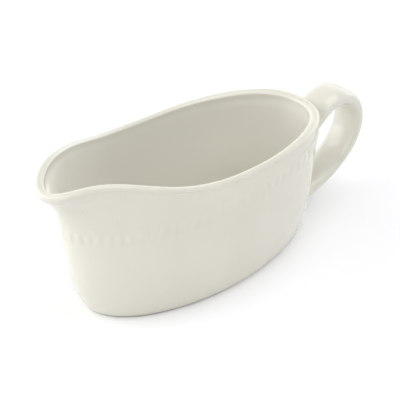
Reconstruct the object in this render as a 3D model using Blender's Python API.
"""Gravy boat: an oval glazed stoneware pouring boat with a pinched lip at one end and a strap
handle at the other.

World frame: origin on the resting plane under the middle of the overall length, +Z up, the lip
towards -X, the handle towards +X, y = 0 is the plane of symmetry. Metres, angles in degrees.
The shape is worked out from the point where the two halves of the oval meet, and moved to the
world frame at the end. The polar angle phi (radians) is 0 at the lip and pi at the handle.
"""

import bpy
import bmesh
import math
import numpy as np

# ---------------------------------------------------------------- driving dimensions

# plan of the wall: two half superellipses that share one width
LIP_END_HALF = 0.0749         # from where the halves meet to the wall at the lip end, at the foot
HANDLE_END_HALF = 0.0864      # the same at the handle end
HALF_WIDTH = 0.0413
LIP_END_POWER = 1.85          # a slightly pointed oval towards the lip
HANDLE_END_POWER = 2.36       # a slightly squared oval towards the handle
LIP_END_POWER_GAIN = 0.10     # the plan at the foot is squarer at the lip end than at the rim
HANDLE_END_POWER_GAIN = -0.40 # and rounder at the handle end
PLAN_HEIGHT = 0.0705          # height from which the plan keeps the rim's powers
PLAN_FADE_POWER = 1.3         # how the gain in power fades from the foot to that height
LIP_END_FLARE = 0.199         # outward lean, run over rise
HANDLE_END_FLARE = 0.0923

# the rounded corner between the foot and the wall is a quarter ellipse
CORNER_HEIGHT = 0.0292
CORNER_INSET_AT_LIP = 0.0083
CORNER_INSET_AT_HANDLE = 0.0055
CORNER_ANGLES = (14.0, 30.0, 46.0, 64.0, 90.0)

# pouring lip: the rim is drawn out in a rounded spout that fades down the wall
LIP_REACH = 0.0097
LIP_ANGLE = 13.3              # polar half angle of the spout
LIP_POWER = 2.4
LIP_FADE = 0.0133             # drop below the rim over which the spout fades
LIP_FADE_POWER = 1.7
CHEEK_SWELL = 0.00065         # faint fullness beside the spout
CHEEK_ANGLE = 36.0
CHEEK_SPREAD = 18.3

# height of the rim above the table: (x from where the halves meet, height)
RIM_STATIONS = (
    (-0.108, 0.0871), (-0.085, 0.0930), (-0.060, 0.0880), (-0.032, 0.0788),
    (0.0, 0.0731), (0.045, 0.0705), (0.095, 0.0680),
)
RIM_FIRST_GUESS = RIM_STATIONS[4][1]  # rim height where the halves meet
RIM_PASSES = 4

# the rolled rim, by its values along the sides, at the lip, at the handle end;
# it hangs lower outside than inside
ROLL_HALF_WIDTHS = (0.00197, 0.00250, 0.0029)
ROLL_INSIDE_HEIGHTS = (0.0012, 0.0018, 0.0017)
ROLL_OUTSIDE_HEIGHTS = (0.00170, 0.0023, 0.0022)
ROLL_LIP_SPREAD = 20.0        # angle over which the lip's values fade into the sides'
ROLL_HANDLE_FROM = 125.0      # angle from the lip where the handle end's values set in
ROLL_HANDLE_SPREAD = 42.0     # angle they take to do so
ROLL_ANGLES = (-42.0, -12.0, 25.0, 62.0, 100.0, 140.0, 180.0, 215.0)  # 0 outside, 90 on top

# between the beads and the roll the outside wall is drawn in slightly
NECK_PART = 0.55              # part of the way from the beads up to the roll
NECK_INSET = 0.0002

# inside of the boat
WALL = 0.0037                 # thickness of the cast wall
FLOOR = 0.0055                # thickness of the floor
INNER_CORNER = 0.0160         # radius where the inside wall meets the floor
INNER_CORNER_ANGLES = (0.0, 25.0, 50.0, 72.0, 90.0)
INNER_UPPER_HEIGHT = 0.048    # below this the rings of the inside wall are level
INNER_LOWER_HEIGHT = 0.034
INNER_SWEPT_PARTS = (0.22, 0.55)  # rings between the roll and that height, by part of the drop

FOOT_BAND = 0.0052            # width of the ring that stands on the table
FOOT_SLOPE = 0.0014           # width of the slope from that ring up to the recess
FOOT_RECESS = 0.0016          # depth of the recess
LOWER_WALL_HEIGHT = 0.0420    # a ring of the outside wall between the corner and the beads

# relief of small upright beads round the shoulder
BEAD_COUNT = 66
BEAD_PITCH_AT_LIP = 0.76      # spacing at the lip over the spacing along the sides
BEAD_PITCH_EVEN = 0.085       # distance along the row from the lip where the spacing is even
BEAD_HEIGHT = 0.0565          # height of the bead row
BEAD_HALF_LENGTH = 0.0042
BEAD_PROUD = 0.0005
BEAD_CLEAR_OF_HANDLE = 0.0140 # no beads within this of y = 0 at the handle end
BEAD_ROW_SAMPLES = 14401
COLUMNS = 2 * BEAD_COUNT

# strap handle: its centre line starts at a point (x, z) and an angle above +X, and turns
# downwards by curvatures (1/m) at equal steps; the sizes too are at equal steps along it
HANDLE_START = (0.0902, 0.0464)
HANDLE_START_ANGLE = 42.0
HANDLE_LENGTH = 0.1154
HANDLE_BENDS = (1.0, 31.0, 59.0, 53.0, 41.5, 22.5, 14.0, 6.5)
HANDLE_HALF_WIDTHS = (0.0105, 0.0102, 0.0095, 0.0104)
HANDLE_HALF_THICKNESS = (0.0052, 0.0046, 0.0038, 0.0046)
HANDLE_SECTION_POWER = 2.6
HANDLE_LINE_SAMPLES = 1201
HANDLE_STATIONS = 34
HANDLE_SIDES = 20
UPPER_AT, LOWER_AT = 0.090, 0.955  # parts of the line beyond which the strap runs straight

# joints between the handle and the wall
SEAT = 0.0003                 # clearance between neighbouring pieces
SLIP = 0.0010                 # thickness of the joining clay
SLIP_SQUEEZE = 0.0013         # how far the clay stands out past the strap, next to the wall
SLIP_SQUEEZE_TAPER = 0.0009   # how much less it stands out next to the strap
SLIP_EDGE_PARTS = (0.15, 0.6) # rings of the squeezed edge, by part of the clay's thickness
END_SCALES = (0.0, 0.55, 0.97)  # rings of an end face, from its centre out
CENTRE_SCALE = 0.001          # scale of the section that gives the centre of an end face
SLIDE_RANGE = (-0.004, 0.030) # how far a point may slide to reach the wall
SLIDE_HALVINGS = 40
GRADIENT_STEP = 1e-5

SHARP_ANGLE = 50


# ---------------------------------------------------------------- curves and sums

def spline(xs, ys):
    """Natural cubic spline through the stations, as a function."""
    xs = np.asarray(xs, float)
    ys = np.asarray(ys, float)
    count = len(xs)
    gaps = np.diff(xs)
    matrix = np.zeros((count, count))
    target = np.zeros(count)
    matrix[0, 0] = matrix[-1, -1] = 1.0
    for i in range(1, count - 1):
        matrix[i, i - 1:i + 2] = gaps[i - 1], 2 * (gaps[i - 1] + gaps[i]), gaps[i]
        target[i] = 6 * ((ys[i + 1] - ys[i]) / gaps[i] - (ys[i] - ys[i - 1]) / gaps[i - 1])
    second = np.linalg.solve(matrix, target)  # second derivatives at the stations

    def at(x):
        x = np.clip(np.asarray(x, float), xs[0], xs[-1])
        i = np.clip(np.searchsorted(xs, x) - 1, 0, count - 2)
        run = x - xs[i]
        gap = gaps[i]
        slope = (ys[i + 1] - ys[i]) / gap - gap * (2 * second[i] + second[i + 1]) / 6
        cubic = (second[i + 1] - second[i]) / (6 * gap)
        return ys[i] + slope * run + second[i] / 2 * run ** 2 + cubic * run ** 3

    return at


def spread_spline(values):
    """Spline through values at equal steps from 0 to 1."""
    return spline(np.linspace(0, 1, len(values)), values)


def ease(t):
    """Smooth step from 0 to 1."""
    t = np.clip(t, 0, 1)
    return t * t * (3 - 2 * t)


def midpoints(values):
    return (values[1:] + values[:-1]) / 2


def running_total(steps):
    return np.concatenate([[0], np.cumsum(steps)])


# ---------------------------------------------------------------- surface of the boat

rim_profile = spline(*zip(*RIM_STATIONS))


def from_lip(phi):
    """Angle from the lip's centre line, 0 to 180 degrees."""
    return np.degrees(np.abs((phi + np.pi) % (2 * np.pi) - np.pi))


def spout(phi):
    """How far the lip and its cheeks stand out from the oval at the rim."""
    angle = from_lip(phi)
    return (LIP_REACH * np.exp(-(angle / LIP_ANGLE) ** LIP_POWER)
            + CHEEK_SWELL * np.exp(-((angle - CHEEK_ANGLE) / CHEEK_SPREAD) ** 2))


def oval(phi, z):
    """Polar radius of the plain oval wall at a height."""
    at_lip = (1 + np.cos(phi)) / 2
    full_inset = CORNER_INSET_AT_LIP * at_lip + CORNER_INSET_AT_HANDLE * (1 - at_lip)
    below = np.clip(1 - z / CORNER_HEIGHT, 0, 1)
    inset = full_inset * (1 - np.sqrt(np.clip(1 - below * below, 0, 1)))

    low = np.clip(1 - z / PLAN_HEIGHT, 0, 1) ** PLAN_FADE_POWER
    lip_end = np.cos(phi) > 0
    half_length = np.where(lip_end, LIP_END_HALF + LIP_END_FLARE * z,
                           HANDLE_END_HALF + HANDLE_END_FLARE * z) - inset
    power = np.where(lip_end, LIP_END_POWER + LIP_END_POWER_GAIN * low,
                     HANDLE_END_POWER + HANDLE_END_POWER_GAIN * low)
    half_width = HALF_WIDTH - inset
    lengthwise = (np.abs(np.cos(phi)) / half_length) ** power
    crosswise = (np.abs(np.sin(phi)) / half_width) ** power
    return (lengthwise + crosswise) ** (-1 / power)


def rim_height(phi):
    """Height of the rim; the radius depends on the height, so it is found by repetition."""
    z = np.full(np.shape(phi), RIM_FIRST_GUESS)
    for _ in range(RIM_PASSES):
        z = rim_profile(-np.cos(phi) * (oval(phi, z) + spout(phi)))
    return z


def wall(phi, z, top):
    """Polar radius of the outside of the boat, under a rim at height top."""
    fade = np.exp(-(np.clip(top - z, 0, None) / LIP_FADE) ** LIP_FADE_POWER)
    return oval(phi, z) + spout(phi) * fade


def ring(phi, z, top):
    """Points of the outside wall at one height, or at a height for each angle."""
    radius = wall(phi, z, top)
    return np.stack([-radius * np.cos(phi), -radius * np.sin(phi), z + 0 * phi], axis=-1)


def shift(points, distance):
    """Move a ring's points inwards along its normals in plan."""
    along = np.roll(points, -1, axis=0)[:, :2] - np.roll(points, 1, axis=0)[:, :2]
    inward = np.stack([-along[:, 1], along[:, 0]], axis=-1)
    inward /= np.linalg.norm(inward, axis=1)[:, None]
    moved = points.copy()
    moved[:, :2] += inward * np.reshape(distance, (-1, 1))
    return moved


def draw_in(points, distance):
    """Move points towards the vertical axis, which can't fold the ring where it turns tightly."""
    moved = points.copy()
    moved[:, :2] *= (1 - distance / np.hypot(points[:, 0], points[:, 1]))[:, None]
    return moved


def at_height(points, z):
    moved = points.copy()
    moved[:, 2] = z
    return moved


# ---------------------------------------------------------------- meshes and materials

def material(name, colour, roughness):
    mat = bpy.data.materials.new(name)
    mat.use_nodes = True
    inputs = mat.node_tree.nodes["Principled BSDF"].inputs
    inputs["Base Color"].default_value = (*colour, 1.0)
    inputs["Roughness"].default_value = roughness
    inputs["Metallic"].default_value = 0.0
    return mat


def lofted(rings):
    """Points and faces of a closed tube through equal rings; a ring of one point makes a fan."""
    points, index = [], []
    for points_of_ring in rings:
        index.append(range(len(points), len(points) + len(points_of_ring)))
        points.extend(points_of_ring)
    faces = []
    for this, following in zip(index, index[1:]):
        count = max(len(this), len(following))
        for j in range(count):
            k = (j + 1) % count
            if len(this) == 1:
                faces.append((this[0], following[j], following[k]))
            elif len(following) == 1:
                faces.append((this[k], this[j], following[0]))
            else:
                faces.append((this[j], this[k], following[k], following[j]))
    if len(index[0]) > 1:
        faces.append(tuple(reversed(index[0])))
    if len(index[-1]) > 1:
        faces.append(tuple(index[-1]))
    return points, faces


def solid(name, rings, mat):
    """A closed, outward facing mesh object lofted through rings."""
    points, faces = lofted(rings)
    bm = bmesh.new()
    verts = [bm.verts.new(tuple(float(c) for c in point)) for point in points]
    for face in faces:
        bm.faces.new([verts[i] for i in face])
    bmesh.ops.recalc_face_normals(bm, faces=bm.faces)
    mesh = bpy.data.meshes.new(name)
    bm.to_mesh(mesh)
    bm.free()
    mesh.materials.append(mat)
    mesh.shade_smooth()
    mesh.set_sharp_from_angle(angle=math.radians(SHARP_ANGLE))
    piece = bpy.data.objects.new(name, mesh)
    bpy.context.collection.objects.link(piece)
    return piece


# ---------------------------------------------------------------- the cast boat

def along_rim(phi, side, lip, handle_end):
    """A size of the roll, by its values along the sides, at the lip and at the handle end."""
    angle = from_lip(phi)
    return (side + (lip - side) * np.exp(-(angle / ROLL_LIP_SPREAD) ** 2)
            + (handle_end - side) * ease((angle - ROLL_HANDLE_FROM) / ROLL_HANDLE_SPREAD))


def bead_columns():
    """Polar angles of the columns, two to a bead; they stand closer together round the lip."""
    fine = np.linspace(0, 2 * np.pi, BEAD_ROW_SAMPLES)
    row = ring(fine, BEAD_HEIGHT, rim_height(fine))
    along = running_total(np.hypot(*np.diff(row[:, :2], axis=0).T))
    from_centre = np.minimum(along, along[-1] - along)
    evenness = ease(from_centre / BEAD_PITCH_EVEN)
    pitch = BEAD_PITCH_AT_LIP + (1 - BEAD_PITCH_AT_LIP) * evenness
    count = running_total(np.diff(along) / midpoints(pitch))
    return np.interp(np.arange(COLUMNS) / COLUMNS * count[-1], count, fine)


def underside_rings(phi, top):
    """Shallow recess, and the foot ring round it."""
    foot = ring(phi, 0.0, top)
    steps = ((FOOT_BAND + FOOT_SLOPE, FOOT_RECESS), (FOOT_BAND, 0.0), (0.0, 0.0))
    return [at_height(shift(foot, inset), z) for inset, z in steps]


def bead_ring(phi, top):
    """Ring through the middles of the beads, a bead on every second column."""
    beads = ring(phi, BEAD_HEIGHT, top)
    proud = np.where(np.arange(COLUMNS) % 2 == 1, BEAD_PROUD, 0.0)
    proud[(beads[:, 0] > 0) & (np.abs(beads[:, 1]) < BEAD_CLEAR_OF_HANDLE)] = 0.0
    return shift(beads, -proud)


def outside_rings(phi, top, roll_base):
    """Rounded corner, wall, bead row and the neck under the roll."""
    heights = [CORNER_HEIGHT * (1 - math.cos(math.radians(angle))) for angle in CORNER_ANGLES]
    heights += [LOWER_WALL_HEIGHT, BEAD_HEIGHT - BEAD_HALF_LENGTH]
    bead_top = BEAD_HEIGHT + BEAD_HALF_LENGTH
    neck = bead_top + (roll_base - bead_top) * NECK_PART
    return [*(ring(phi, z, top) for z in heights),
            bead_ring(phi, top),
            ring(phi, bead_top, top),
            shift(ring(phi, neck, top), NECK_INSET)]


def roll_rings(phi, top, outside):
    """The rolled rim, from the outside over the top to the inside."""
    half_width = along_rim(phi, *ROLL_HALF_WIDTHS)
    inside = along_rim(phi, *ROLL_INSIDE_HEIGHTS)
    outer = ring(phi, top, top)
    rings = []
    for angle in ROLL_ANGLES:
        turn = math.radians(angle)
        height = outside if angle < 90 else inside
        rings.append(at_height(shift(outer, half_width * (1 - math.cos(turn))),
                               top - height * (1 - math.sin(turn))))
    return rings


def inside_rings(phi, top, roll_base):
    """Inside wall, inside corner and floor."""
    heights = [roll_base - (roll_base - INNER_UPPER_HEIGHT) * part for part in INNER_SWEPT_PARTS]
    heights += [INNER_UPPER_HEIGHT, INNER_LOWER_HEIGHT]
    rings = [shift(ring(phi, z, top), WALL) for z in heights]
    corner_top = FLOOR + INNER_CORNER
    edge = shift(ring(phi, corner_top, top), WALL)
    for angle in INNER_CORNER_ANGLES:
        turn = math.radians(angle)
        rings.append(at_height(draw_in(edge, INNER_CORNER * (1 - math.cos(turn))),
                               corner_top - INNER_CORNER * math.sin(turn)))
    return rings


def make_boat(mat):
    phi = bead_columns()
    top = rim_height(phi)
    outside = along_rim(phi, *ROLL_OUTSIDE_HEIGHTS)
    roll_base = top - 2 * outside
    rings = (underside_rings(phi, top) + outside_rings(phi, top, roll_base)
             + roll_rings(phi, top, outside) + inside_rings(phi, top, roll_base))
    return solid("boat_body", rings, mat)


# ---------------------------------------------------------------- the strap handle

def handle_line():
    """Samples along the handle: part of the length, then x, z, turn, half width and thickness."""
    part = np.linspace(0, 1, HANDLE_LINE_SAMPLES)
    step = HANDLE_LENGTH / (HANDLE_LINE_SAMPLES - 1)
    bends = spread_spline(HANDLE_BENDS)(part)
    turn = math.radians(HANDLE_START_ANGLE) - running_total(midpoints(bends)) * step
    x = HANDLE_START[0] + running_total(midpoints(np.cos(turn))) * step
    z = HANDLE_START[1] + running_total(midpoints(np.sin(turn))) * step
    half_width = spread_spline(HANDLE_HALF_WIDTHS)(part)
    half_thickness = spread_spline(HANDLE_HALF_THICKNESS)(part)
    return part, (x, z, turn, half_width, half_thickness)


LINE_PARTS, LINE_VALUES = handle_line()


def line_at(part):
    """x, z, turn, half width and half thickness at a part of the handle's length."""
    return [float(np.interp(part, LINE_PARTS, values)) for values in LINE_VALUES]


def section(part, scale=1.0, grow=0.0):
    """Ring of the strap's rounded section at a part of its length."""
    x, z, turn, half_width, half_thickness = line_at(part)
    angle = np.arange(HANDLE_SIDES) / HANDLE_SIDES * 2 * np.pi

    def rounded(wave, half):
        size = half * scale + grow
        return np.sign(wave) * np.abs(wave) ** (2 / HANDLE_SECTION_POWER) * size

    out = rounded(np.cos(angle), half_thickness)
    y = rounded(np.sin(angle), half_width)
    return np.stack([x - math.sin(turn) * out, y, z + math.cos(turn) * out], axis=-1)


def direction(part):
    turn = line_at(part)[2]
    return np.array([math.cos(turn), 0.0, math.sin(turn)])


def clearance(points):
    """Distance of points outside the boat's wall, to first order."""
    def excess(p):
        phi = np.arctan2(-p[:, 1], -p[:, 0])
        return np.hypot(p[:, 0], p[:, 1]) - wall(phi, p[:, 2], rim_height(phi))

    steps = GRADIENT_STEP * np.eye(3)
    gradient = np.stack([(excess(points + step) - excess(points - step)) / (2 * GRADIENT_STEP)
                         for step in steps], axis=-1)
    return excess(points) / np.linalg.norm(gradient, axis=1)


def land(points, way, gap):
    """Slide points along a direction until they are a given distance off the wall."""
    near, far = (np.full(len(points), limit) for limit in SLIDE_RANGE)
    for _ in range(SLIDE_HALVINGS):
        middle = (near + far) / 2
        outside = clearance(points + way * middle[:, None]) > gap
        near = np.where(outside, middle, near)
        far = np.where(outside, far, middle)
    return points + way * ((near + far) / 2)[:, None]


def seat(part, way, scale, gap, grow=0.0):
    """The strap's section landed on the wall; a scale of 0 gives one point at its centre."""
    if scale == 0.0:
        return land(section(part, CENTRE_SCALE)[:1], way, gap)
    return land(section(part, scale, grow), way, gap)


def make_handle(mat):
    gap = 2 * SEAT + SLIP
    rings = [seat(UPPER_AT, -direction(UPPER_AT), scale, gap) for scale in END_SCALES]
    rings += [section(part) for part in np.linspace(UPPER_AT, LOWER_AT, HANDLE_STATIONS)]
    rings += [seat(LOWER_AT, direction(LOWER_AT), scale, gap) for scale in END_SCALES[::-1]]
    return solid("handle", rings, mat)


def make_slip(name, part, way, mat):
    """Joining clay between the strap's end and the wall, squeezed out a little past the strap."""
    rings = [seat(part, way, scale, SEAT) for scale in (*END_SCALES[:2], 1.0)]
    rings += [seat(part, way, 1.0, SEAT + SLIP * depth, SLIP_SQUEEZE - SLIP_SQUEEZE_TAPER * depth)
              for depth in SLIP_EDGE_PARTS]
    rings += [seat(part, way, scale, SEAT + SLIP) for scale in END_SCALES[::-1]]
    return solid(name, rings, mat)


# ---------------------------------------------------------------- build

def centre_lengthwise(pieces):
    """Move the meshes so that x = 0 is the middle of the overall length."""
    xs = [vert.co.x for piece in pieces for vert in piece.data.vertices]
    middle = (min(xs) + max(xs)) / 2
    for piece in pieces:
        for vert in piece.data.vertices:
            vert.co.x -= middle


for old in list(bpy.data.objects):
    bpy.data.objects.remove(old, do_unlink=True)

IVORY = {"colour": (0.76, 0.74, 0.66), "roughness": 0.18}
glaze = material("ivory_glaze", **IVORY)
glaze_handle = material("ivory_glaze_handle", **IVORY)
clay = material("joining_clay", colour=(0.74, 0.72, 0.64), roughness=0.25)

centre_lengthwise([
    make_boat(glaze),
    make_handle(glaze_handle),
    make_slip("upper_handle_joint", UPPER_AT, -direction(UPPER_AT), clay),
    make_slip("lower_handle_joint", LOWER_AT, direction(LOWER_AT), clay),
])
